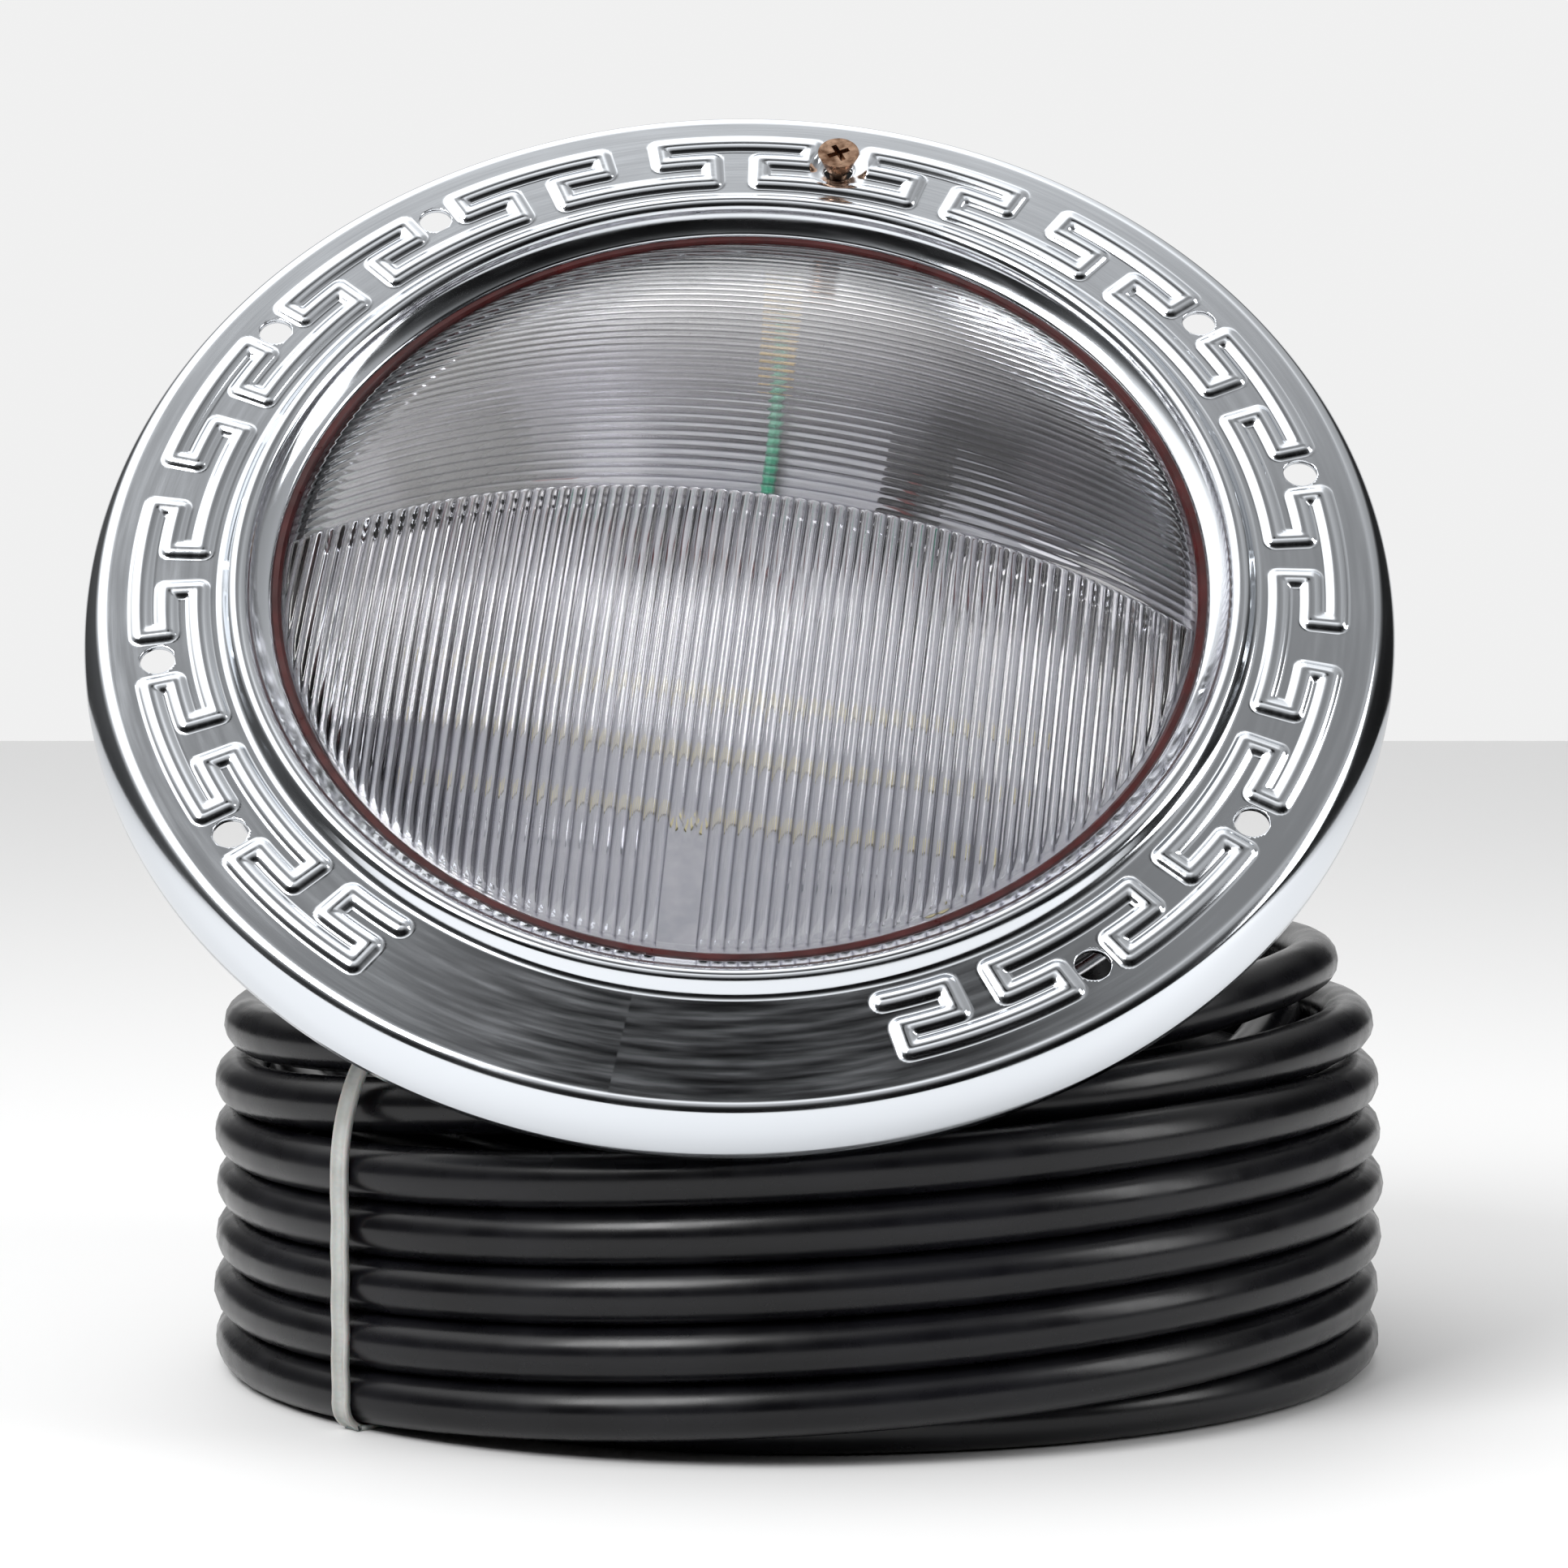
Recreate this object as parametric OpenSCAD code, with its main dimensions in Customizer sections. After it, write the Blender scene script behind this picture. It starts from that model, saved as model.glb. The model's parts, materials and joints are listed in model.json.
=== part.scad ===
/* [Placement] */
// Tilt of the light head back from facing straight up
head_tilt = 51; // [48:0.5:54]
// Turn of the head about its own axis, clockwise from the front
head_roll = 10.5; // [0:0.5:20]
// Offset of the head's centre to the right of the coil's axis
head_x = -12; // [-14:0.5:-8]
// Offset of the head's centre behind the coil's axis
head_y = -50.5; // [-52:0.5:-49]
// Height of the head's centre above the surface
head_z = 169; // [168:0.5:174]

/* [Face ring] */
// Outer diameter of the trim ring
ring_d = 267; // [266:0.5:270]
// Thickness of the ring's sheet
ring_t = 1.2; // [1:0.1:1.4]
// Depth of the ring's turned-back skirt
skirt_h = 11; // [9:0.5:12]
// Radius of the circle that the circulation holes lie on
hole_ring_r = 118.2; // [117:0.1:119]
// Diameter of each circulation hole
hole_d = 7; // [6:0.1:8]

/* [Lens] */
// Diameter of the lens's domed window
window_d = 185; // [180:1:186]
// Height of the dome above the lens's edge
dome_h = 30; // [24:1:34]
// Thickness of the glass
glass_t = 5; // [4:0.5:6]
// Outer diameter of the lens's rim
lens_d = 211.4; // [210:0.2:211.6]

/* [Housing] */
// Distance from the ring's face back to the housing's rear face
house_depth = 130; // [126:1:132]
// Radius of the housing behind its flange
house_front_r = 98.5; // [97:0.5:98.5]
// Radius of the housing before its rear corner
house_rear_r = 89; // [87:0.5:90]
// Thickness of the housing's sheet
house_t = 1.5; // [1.2:0.1:1.8]
// Radius of the housing's rear corner
corner_r = 16; // [12:1:16]

/* [Pilot screw] */
// Distance of the screw from the ring's centre
screw_r = 115; // [114.8:0.1:116]
// Diameter of the screw's threaded end
thread_d = 4.8; // [4.6:0.1:5]
// Length of the screw's threaded end
thread_len = 22; // [15:1:24]
// How far the head stands above the ring at rest
head_out = 5; // [4.8:0.1:5.5]

/* [Cord] */
// Diameter of the supply cord
cord_d = 11; // [10.8:0.1:11]
// Radius of the outermost turn's centre line
coil_r = 119.7; // [119:0.1:120]
// Layers of turns, side by side
coil_layers = 3; // [3:1:3]
// Height of the coil's solid
coil_h = 91; // [88:1:92]

/* [Hidden] */
$fn = 96;
eps = 0.01;

// Head frame: +Z out of the ring's face, +Y up the face, origin on the face's centre
module in_head() {
    translate([head_x, head_y, head_z])
        rotate([head_tilt, 0, 0])
            rotate([0, 0, -head_roll])
                children();
}

// The head frame before it is rolled, for what the cord leaves through
module in_level_head() {
    translate([head_x, head_y, head_z])
        rotate([head_tilt, 0, 0])
            children();
}

// Clock position on the head, clockwise from the pilot screw
module at_clock(angle, r) {
    rotate([0, 0, -angle])
        translate([0, r, 0])
            children();
}

// Points of an arc in the plane of a section
function arc(cx, cy, r, a0, a1, n = 8) =
    [for (i = [0:n]) let (a = a0 + (a1 - a0) * i / n) [cx + r * cos(a), cy + r * sin(a)]];

// A point of a route and the direction through it
function unit(v) = v / norm(v);
function heading(route, i) =
    unit(route[min(i + 1, len(route) - 1)] - route[max(i - 1, 0)]);
function ring_points(c, d, r, sides) =
    let (
        side = unit(cross(abs(d[2]) > 0.9 ? [1, 0, 0] : [0, 0, 1], d)),
        up = cross(d, side)
    )
    [for (k = [0:sides - 1]) c + r * (cos(360 * k / sides) * side + sin(360 * k / sides) * up)];

// A round tube along a route, as one closed surface
module tube(route, d, sides = 8) {
    n = len(route);
    points = [for (i = [0:n - 1]) each ring_points(route[i], heading(route, i), d / 2, sides)];
    first = [for (k = [0:sides - 1]) k];
    last = [for (k = [sides - 1:-1:0]) (n - 1) * sides + k];
    skin = [
        for (i = [0:n - 2], k = [0:sides - 1])
            let (k2 = (k + 1) % sides)
            [i * sides + k, (i + 1) * sides + k, (i + 1) * sides + k2, i * sides + k2]
    ];
    polyhedron(points = points, faces = concat([first], skin, [last]), convexity = 6);
}

// Face ring section
ring_r = ring_d / 2;
rim_r = 7;
rim_inset = 10.5;
rim_bend = 50;
rim_drop = 9.5;
bead_r = 2.5;
bead_x = 101.4;
bead_z = 0.3;
lip_x = 96.9;
lip_z = -2.3;
hole_angles = [45, 67.5, 112.5, 135, 225, 247.5, 292.5, 315];
screw_hole_d = 6.4;

// Lens, gasket and flange stack, as heights in the head frame
lens_front = -4.3;
lens_back = -10.3;
seat_gap = 0.3;
gasket_front = -2.4;
gasket_lip = 0.6;
gasket_back = -12.6;
gasket_r = 108.5;
gasket_inner_r = 93;
dome_base = -2;
dome_r = (pow(window_d / 2, 2) + pow(dome_h, 2)) / (2 * dome_h);
dome_c = dome_base + dome_h - dome_r;
flange_r = 109;
flange_back = gasket_back - house_t;

// Clamp
clip_angles = [22.5, 157.5, 202.5, 270, 337.5];
clip_w = 14;
clip_t = 1;
clip_x = 103;
wire_d = 2.2;
wire_r = 111.5;
wire_z = -12.5;
clamp_angle = 90;
clamp_r = 116.5;
clamp_z = -15;
clamp_screw_d = 5;
clamp_bore_d = 5.2;
lug_gap = 16;
lug_w = 7;

// Light engine
board_r = 75.5;
board_z = -44;
board_t = 1.6;
sink_r = 66;
sink_t = 5;
fin_h = 18;
fin_pitch = 8;
fin_w = 2.4;
fin_half_l = 36;
fin_count = 15;
chip_w = 3.5;
chip_h = 0.9;
chip_pitch = 10.5;
chip_rows = [-32, -16, 0];
chips_each_side = 4;
post_r = 60;
post_angles = [45, 135, 225, 315];
post_d = 7;
post_tap_d = 3;
post_screw_d = 3;
post_screw_hole_d = 3.4;
post_screw_grip = 8;
cone_top_r = 90;
cone_top_z = -14.5;
cone_floor_r = 76;
cone_floor_z = board_z - 0.2;
cone_slope = atan2(cone_top_r - cone_floor_r, cone_top_z - cone_floor_z);

// Cord exit, in the head frame before the roll
exit_x = 46;
exit_y = -41.2;
gland_bore_d = cord_d + 0.8;
gland_thread_d = gland_bore_d + 6;
gland_hex_d = 22;
gland_len = 5;
nut_len = 8;
relief_len = 20;

// Coil
coil_out_r = coil_r + cord_d / 2;
coil_in_r = coil_out_r - coil_layers * cord_d;
tie_angle = 225;
tie_w = 4.8;
tie_t = 1.3;

// Route of the cord from the strain relief to the inner wall of the coil
lead_route = [
    [34, 50.1, 34.5], [33, 59, 27], [29, 67.5, 20.5], [22, 75.5, 14.5], [12, 81.8, 9.5],
    [0, 85.6, 6.8], [-14, 86.4, 5.8], [-30, 83.5, 5.7], [-46, 78.5, 5.7], [-60, 71, 5.7]
];

module ring_profile() {
    polygon(concat(
        [[lip_x, lip_z]],
        arc(bead_x, bead_z, bead_r, 165, 60),
        [[bead_x + 3.6, 0]],
        arc(ring_r - rim_inset, -rim_r, rim_r, 90, rim_bend),
        [[ring_r, -rim_drop], [ring_r, -skirt_h], [ring_r - ring_t, -skirt_h]],
        [[ring_r - ring_t, -rim_drop - ring_t / 4]],
        arc(ring_r - rim_inset, -rim_r, rim_r - ring_t, rim_bend, 90),
        [[bead_x + 3, -ring_t]],
        arc(bead_x, bead_z, bead_r - ring_t, 60, 165),
        [[lip_x + ring_t, lip_z]]
    ));
}

module face_ring() {
    color("silver") in_head() difference() {
        rotate_extrude() ring_profile();
        for (a = hole_angles)
            at_clock(a, hole_ring_r) cylinder(d = hole_d, h = 20, center = true);
        at_clock(0, screw_r) cylinder(d = screw_hole_d, h = 20, center = true);
    }
}

// Fixed hook behind the bottom of the ring, which catches the niche's lower lip
module latch_hook() {
    hook_w = 22;
    hook_t = 1.5;
    hook_r = 115.5;
    hook_reach = 7;
    hook_h = skirt_h - 1 - ring_t;
    color("silver") in_head() at_clock(180, 0) translate([0, hook_r, -skirt_h + 1]) difference() {
        translate([-hook_w / 2, 0, 0]) cube([hook_w, hook_reach, hook_h]);
        translate([-hook_w, hook_t, hook_t]) cube([2 * hook_w, 2 * hook_reach, hook_h - 2 * hook_t]);
    }
}

screw_head_d = 9;
screw_head_h = 4.8;
screw_head_root_d = 5.2;
neck_d = 4;
neck_end = -16;

module pilot_screw() {
    recess_w = 1.2;
    recess_l = 5;
    recess_h = 2;
    color("peru") in_head() at_clock(0, screw_r) difference() {
        union() {
            translate([0, 0, head_out - screw_head_h])
                cylinder(d1 = screw_head_root_d, d2 = screw_head_d, h = screw_head_h);
            translate([0, 0, neck_end]) cylinder(d = neck_d, h = head_out - screw_head_h - neck_end);
            translate([0, 0, neck_end - thread_len]) cylinder(d = thread_d, h = thread_len);
        }
        for (a = [35, 125])
            translate([0, 0, head_out - recess_h / 2]) rotate([0, 0, a])
                cube([recess_l, recess_w, recess_h + eps], center = true);
    }
}

module screw_washer() {
    washer_z = -6.2;
    washer_h = 2.4;
    washer_d = 8.4;
    color("dimgray") in_head() at_clock(0, screw_r) translate([0, 0, washer_z]) difference() {
        cylinder(d = washer_d, h = washer_h);
        translate([0, 0, -1]) cylinder(d = neck_d + 0.12, h = washer_h + 2);
    }
}

module lens_gasket() {
    lip_r = 98;
    color("darkred") in_head() rotate_extrude() polygon([
        [gasket_inner_r, lens_front + seat_gap], [gasket_inner_r, lip_z - gasket_lip],
        [gasket_inner_r + gasket_lip, lip_z], [lip_r, lip_z], [lip_r, gasket_front],
        [gasket_r, gasket_front], [gasket_r, gasket_back], [lip_r, gasket_back],
        [lip_r, lens_back - seat_gap], [lens_d / 2 + seat_gap, lens_back - seat_gap],
        [lens_d / 2 + seat_gap, lens_front + seat_gap]
    ]);
}

module lens() {
    inner_r = dome_r - glass_t;
    a_out = acos(window_d / 2 / dome_r);
    a_in = asin((lens_back - dome_c) / inner_r);
    color("lightblue", 0.5) in_head() rotate_extrude() polygon(concat(
        arc(0, dome_c, dome_r, 90, a_out, 20),
        [[window_d / 2, lens_front], [lens_d / 2, lens_front], [lens_d / 2, lens_back]],
        arc(0, dome_c, inner_r, a_in, 90, 20)
    ));
}

module housing_profile(grow = 0) {
    polygon(concat(
        [[0, -house_depth - grow]],
        arc(house_rear_r - corner_r, corner_r - house_depth, corner_r + grow, -90, 0),
        [[house_front_r + grow, flange_back], [house_front_r + grow, gasket_back], [0, gasket_back]]
    ));
}

module housing() {
    flange_overlap = 2;
    exit_hole_d = gland_thread_d + 0.2;
    color("lightgray") in_head() difference() {
        rotate_extrude() union() {
            difference() {
                housing_profile();
                housing_profile(-house_t);
                translate([0, gasket_back - 3]) square([house_front_r - house_t, 5]);
            }
            translate([house_front_r - flange_overlap, flange_back])
                square([flange_r - house_front_r + flange_overlap, house_t]);
        }
        rotate([0, 0, head_roll]) translate([exit_x, exit_y, -house_depth - 5])
            cylinder(d = exit_hole_d, h = 12);
    }
}

// Split wire that squeezes the clips on to the flange
module tension_wire() {
    wire_end_gap = 2.2;
    gap_angle = 2 * asin(lug_gap / 2 / wire_r) + wire_end_gap;
    color("silver") in_head() rotate([0, 0, 90 - clamp_angle + gap_angle / 2])
        translate([0, 0, wire_z]) rotate_extrude(angle = 360 - gap_angle)
            translate([wire_r, 0]) circle(d = wire_d);
}

module tension_clips() {
    web_r = gasket_r + 0.6;
    leg = web_r - clip_x + 0.1;
    color("silver") in_head() for (a = clip_angles) at_clock(a, 0) {
        translate([-clip_w / 2, web_r, flange_back - clip_t])
            cube([clip_w, clip_t, -ring_t - flange_back + clip_t]);
        for (z = [-ring_t - clip_t, flange_back - clip_t])
            translate([-clip_w / 2, clip_x, z]) cube([clip_w, leg, clip_t]);
    }
}

module clamp_lugs() {
    lug_l = 11.5;
    lug_h = 10;
    color("silver") in_head() at_clock(clamp_angle, 0)
        for (side = [-1, 1])
            translate([side * (lug_gap + lug_w) / 2, 0, clamp_z]) difference() {
                translate([-lug_w / 2, wire_r - wire_d / 2, -lug_h / 2]) cube([lug_w, lug_l, lug_h]);
                translate([0, clamp_r, 0]) rotate([0, 90, 0])
                    cylinder(d = clamp_bore_d, h = 2 * lug_w, center = true);
            }
}

module clamp_screw() {
    screw_len = 38;
    head_d = 8.5;
    head_h = 4;
    slot_w = 1.2;
    slot_h = 2.4;
    start = -lug_gap / 2 - lug_w - 0.3;
    color("silver") in_head() at_clock(clamp_angle, clamp_r)
        translate([start, 0, clamp_z]) rotate([0, 90, 0]) difference() {
            union() {
                cylinder(d = clamp_screw_d, h = screw_len);
                translate([0, 0, -head_h]) cylinder(d = head_d, h = head_h);
            }
            translate([0, 0, -head_h]) cube([2 * head_d, slot_w, slot_h], center = true);
        }
}

module clamp_nut() {
    nut_d = 9.2;
    nut_h = 4;
    color("silver") in_head() at_clock(clamp_angle, clamp_r)
        translate([lug_gap / 2 + lug_w, 0, clamp_z]) rotate([0, 90, 0]) difference() {
            cylinder(d = nut_d, h = nut_h, $fn = 6);
            translate([0, 0, -1]) cylinder(d = clamp_bore_d, h = nut_h + 2);
        }
}

// Shiny cone round the board, hung from the flange
module reflector() {
    lip = 4;
    sheet = 1;
    color("gainsboro") in_head() rotate_extrude() polygon([
        [cone_top_r, cone_top_z], [cone_top_r + lip, cone_top_z], [cone_top_r + lip, cone_top_z - sheet],
        [cone_top_r + sheet, cone_top_z - sheet], [cone_floor_r + sheet, cone_floor_z],
        [cone_floor_r, cone_floor_z]
    ]);
}

// Places what follows on the cone's inner slope: +Y into the wall, +Z up the slope
module on_cone(angle, up) {
    at_clock(angle, cone_floor_r) translate([0, 0, cone_floor_z]) rotate([-cone_slope, 0, 0])
        translate([0, 0, up]) children();
}

module led_board() {
    color("white") in_head() translate([0, 0, board_z - board_t]) difference() {
        cylinder(r = board_r, h = board_t);
        for (a = post_angles)
            at_clock(a, post_r) translate([0, 0, -1]) cylinder(d = post_screw_hole_d, h = board_t + 2);
    }
}

module led_chips() {
    color("gold") in_head() for (y = chip_rows, i = [-chips_each_side:chips_each_side])
        translate([i * chip_pitch - chip_w / 2, y - chip_w / 2, board_z]) cube([chip_w, chip_w, chip_h]);
}

module heat_sink() {
    top = board_z - board_t;
    first = -(fin_count - 1) / 2;
    color("gray") in_head() difference() {
        union() {
            translate([0, 0, top - sink_t]) cylinder(r = sink_r, h = sink_t);
            intersection() {
                translate([0, 0, top - sink_t - fin_h]) cylinder(r = sink_r, h = fin_h + eps);
                for (i = [0:fin_count - 1])
                    translate([(first + i) * fin_pitch - fin_w / 2, -fin_half_l, top - sink_t - fin_h])
                        cube([fin_w, 2 * fin_half_l, fin_h + eps]);
            }
        }
        for (a = post_angles) at_clock(a, post_r) {
            translate([0, 0, top - sink_t - 1]) cylinder(d = post_screw_hole_d, h = sink_t + 2);
            translate([0, 0, top - sink_t - fin_h - 1]) cylinder(d = post_d + 1, h = fin_h + 1);
        }
    }
}

// Legs that carry the light engine on the bracket
post_top = board_z - board_t - sink_t;
bracket_z = -96;
bracket_t = 1.5;
bracket_r = 80;
bracket_bore_r = 44;

module module_posts() {
    tap_l = 12;
    color("silver") in_head() for (a = post_angles) at_clock(a, post_r)
        translate([0, 0, bracket_z]) difference() {
            cylinder(d = post_d, h = post_top - bracket_z);
            translate([0, 0, post_top - bracket_z - tap_l]) cylinder(d = post_tap_d, h = tap_l + 1);
        }
}

module module_screws() {
    head_d = 6;
    head_h = 2.2;
    color("silver") in_head() for (a = post_angles) at_clock(a, post_r) {
        translate([0, 0, board_z]) cylinder(d = head_d, h = head_h);
        translate([0, 0, post_top - post_screw_grip])
            cylinder(d = post_screw_d, h = board_z - post_top + post_screw_grip + eps);
    }
}

module module_bracket() {
    color("silver") in_head() translate([0, 0, bracket_z - bracket_t]) difference() {
        cylinder(r = bracket_r, h = bracket_t);
        translate([0, 0, -1]) cylinder(r = bracket_bore_r, h = bracket_t + 2);
    }
}

// Vented black case on the cone's slope
module driver_case() {
    case_size = [24, 5, 22];
    gap = 1.6;
    bar_w = 3.6;
    bar_t = 1.2;
    bars = 4;
    pitch = (case_size[0] - bar_w) / (bars - 1);
    color("black") in_head() on_cone(-58, 5) translate([0, -case_size[1] - gap, 0]) {
        translate([-case_size[0] / 2, 0, 0]) cube(case_size);
        for (i = [0:bars - 1])
            translate([i * pitch - case_size[0] / 2, -bar_t, 2]) cube([bar_w, bar_t + eps, case_size[2] - 4]);
    }
}

// Circuit board behind the bracket, and what stands on it
driver_board_size = [84, 60, 1.6];
driver_board_drop = 12;
driver_board_z = bracket_z - bracket_t - driver_board_drop;
driver_top = driver_board_z + driver_board_size[2];

module driver_board() {
    color("darkgreen") in_head() translate([0, 0, driver_board_z + driver_board_size[2] / 2])
        cube(driver_board_size, center = true);
}

module power_inductor() {
    core_d = 26;
    core_h = 14;
    core_bore_d = 9;
    color("saddlebrown") in_head() translate([-18, 0, driver_top]) difference() {
        cylinder(d = core_d, h = core_h);
        translate([0, 0, -1]) cylinder(d = core_bore_d, h = core_h + 2);
    }
}

module capacitors() {
    can_d = 11;
    can_h = 22;
    color("midnightblue") in_head() for (p = [[10, -14], [24, -14], [24, 2]])
        translate([p[0], p[1], driver_top]) cylinder(d = can_d, h = can_h);
}

module terminal_block() {
    block = [14, 8, 8];
    ways = 3;
    way_pitch = 4.4;
    way_d = 3;
    way_depth = 4;
    color("black") in_head() translate([20, 56, board_z]) difference() {
        cube(block);
        for (i = [0:ways - 1])
            translate([block[0] / 2 + (i - 1) * way_pitch, block[1] / 2, block[2] - way_depth])
                cylinder(d = way_d, h = way_depth + 1);
    }
}

module thermal_cutout() {
    button_d = 15;
    button_h = 5;
    dot_d = 4;
    dot_h = 1.2;
    color("white") in_head() translate([57, 36, board_z]) {
        cylinder(d = button_d, h = button_h);
        translate([0, 0, button_h - eps]) cylinder(d = dot_d, h = dot_h);
    }
}

// Brass strap high on the cone's slope, where the green lead ends
module ground_lug() {
    strap = [8, 0.8, 11];
    gap = 0.5;
    hole_up = 3;
    strap_hole_d = 3.2;
    color("goldenrod") in_head() on_cone(-5, 19) translate([-strap[0] / 2, -strap[1] - gap, 0]) difference() {
        cube(strap);
        translate([strap[0] / 2, -1, hole_up]) rotate([-90, 0, 0])
            cylinder(d = strap_hole_d, h = strap[1] + 2);
    }
}

wire_skin_d = 3;

module ground_wire() {
    color("green") in_head() tube([
        [-7.1, 81, board_z + 18], [-6.9, 79.2, board_z + 13.6], [-6.7, 76.5, board_z + 7.3],
        [-6.4, 74.2, board_z + 4], [-6, 69, board_z + 2.6], [-5, 60, board_z + 2],
        [-4, 46, board_z + 1.8]
    ], wire_skin_d);
}

module supply_wires() {
    color("black") in_head() {
        tube([[28, 16, -124], [24, 28, -121], [10, 38, -118], [-8, 40, -116], [-26, 36, -112]],
            wire_skin_d);
        tube([[33, -42, -124], [20, -48, -120], [2, -50, -116], [-14, -46, -112]], wire_skin_d);
    }
}

module module_wires() {
    color("red") in_head() {
        tube([[27, 55, board_z + 3], [25, 48, board_z + 3], [18, 40, board_z + 2.5], [8, 35, board_z + 2]],
            wire_skin_d);
        tube([[-52, 36, board_z + 6], [-46, 40, board_z + 4], [-38, 36, board_z + 3], [-32, 28, board_z + 2]],
            wire_skin_d);
    }
}

// Places what follows on the rear face, with +Z pointing out along the cord
module at_exit() {
    in_level_head() translate([exit_x, exit_y, -house_depth]) rotate([180, 0, 0]) children();
}

module gland_body() {
    inner_l = 7;
    nut_grip = 4;
    color("silver") at_exit() difference() {
        union() {
            translate([0, 0, -inner_l]) cylinder(d = gland_thread_d, h = inner_l + gland_len + nut_grip);
            cylinder(d = gland_hex_d, h = gland_len, $fn = 6);
        }
        translate([0, 0, -inner_l - 1]) cylinder(d = gland_bore_d, h = inner_l + gland_len + nut_grip + 2);
    }
}

module gland_locknut() {
    locknut_h = 4.5;
    color("silver") at_exit() translate([0, 0, -house_t - locknut_h]) difference() {
        cylinder(d = gland_hex_d + 3, h = locknut_h, $fn = 6);
        translate([0, 0, -1]) cylinder(d = gland_thread_d, h = locknut_h + 2);
    }
}

module gland_seal() {
    seal_start = -6;
    seal_l = 14;
    color("black") at_exit() translate([0, 0, seal_start]) difference() {
        cylinder(d = gland_bore_d, h = seal_l);
        translate([0, 0, -1]) cylinder(d = cord_d, h = seal_l + 2);
    }
}

module gland_nut() {
    thread_depth = 4;
    color("silver") at_exit() translate([0, 0, gland_len]) difference() {
        cylinder(d = gland_hex_d, h = nut_len, $fn = 6);
        translate([0, 0, -1]) cylinder(d = gland_thread_d, h = thread_depth + 1);
        cylinder(d = gland_bore_d, h = nut_len + 1);
    }
}

module strain_relief() {
    start = gland_len + nut_len;
    root_d = 19;
    tip_wall = 1.2;
    plug_l = 3;
    color("black") at_exit() difference() {
        union() {
            translate([0, 0, start]) cylinder(d1 = root_d, d2 = cord_d + 2 * tip_wall, h = relief_len);
            translate([0, 0, start - plug_l]) cylinder(d = gland_bore_d, h = plug_l + eps);
        }
        translate([0, 0, start - plug_l - 1]) cylinder(d = cord_d, h = relief_len + plug_l + 2);
    }
}

module cord_lead() {
    inside = 4;
    back = gland_len + nut_len + relief_len + inside;
    start = lead_route[0];
    axis = [0, sin(head_tilt), -cos(head_tilt)];
    color("black") tube(concat([start - axis * back, start - axis * 8], lead_route), cord_d, 12);
}

// The space that the head takes in the coil, with room to spare
module head_space() {
    room = 1;
    rim_room = 8;
    stack_r = wire_r + wire_d / 2 + room;
    stack_depth = 4;
    in_level_head() {
        translate([0, 0, -skirt_h - room]) cylinder(r = ring_r + room, h = 60);
        rotate_extrude() translate([ring_r - ring_t - room, -skirt_h - rim_room])
            square([ring_t + 2 * room, 2 * rim_room]);
        translate([0, 0, flange_back - stack_depth]) cylinder(r = stack_r, h = 20);
        rotate_extrude() housing_profile(room);
    }
}

module cord_coil() {
    color("black") difference() {
        rotate_extrude() translate([coil_in_r, 0]) square([coil_out_r - coil_in_r, coil_h]);
        head_space();
    }
}

// The tie's loop round the turns: its upper corners are cut where the head sits
tie_top = 80;
tie_shoulder = 56;
tie_inner_shoulder = 60;

module tie_outline() {
    in_r = coil_in_r - tie_t;
    out_r = coil_out_r + tie_t;
    polygon([
        [in_r, 0], [out_r, 0], [out_r, tie_shoulder], [out_r - 10, tie_top],
        [in_r + 14, tie_top], [in_r, tie_inner_shoulder]
    ]);
}

module cable_tie() {
    color("white") rotate([0, 0, tie_angle]) rotate([90, 0, 0])
        linear_extrude(tie_w, center = true) difference() {
            tie_outline();
            offset(delta = -tie_t) tie_outline();
        }
}

module tie_head() {
    head = [6, 8, 7];
    head_up = 40;
    color("white") rotate([0, 0, tie_angle])
        translate([coil_in_r - tie_t - head[0], -head[1] / 2, head_up]) cube(head);
}

// Three stripped conductors lying on the back of the coil
module cord_end_leads() {
    lead_d = 3;
    lead_pitch = 4;
    middle_r = 109;
    color("green") for (i = [-1:1])
        let (r = middle_r + i * lead_pitch)
            tube([for (a = [100:7:142]) [r * cos(a), r * sin(a), coil_h + lead_d / 2]], lead_d);
}

face_ring();
latch_hook();
pilot_screw();
screw_washer();
lens_gasket();
lens();
housing();
tension_wire();
tension_clips();
clamp_lugs();
clamp_screw();
clamp_nut();
reflector();
led_board();
led_chips();
heat_sink();
module_posts();
module_screws();
module_bracket();
driver_case();
driver_board();
power_inductor();
capacitors();
terminal_block();
thermal_cutout();
ground_lug();
ground_wire();
supply_wires();
module_wires();
gland_locknut();
gland_body();
gland_seal();
gland_nut();
strain_relief();
cord_lead();
cord_coil();
cable_tie();
tie_head();
cord_end_leads();
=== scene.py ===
"""Underwater pool light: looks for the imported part.

Lengths are millimetres until a piece is placed. Head coordinates have +z out of the ring's face and
+y towards the pilot screw; clock angles run clockwise from the screw.
"""

import json
import math

import bmesh
import bpy
import numpy as np
from mathutils import Matrix, Vector


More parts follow.
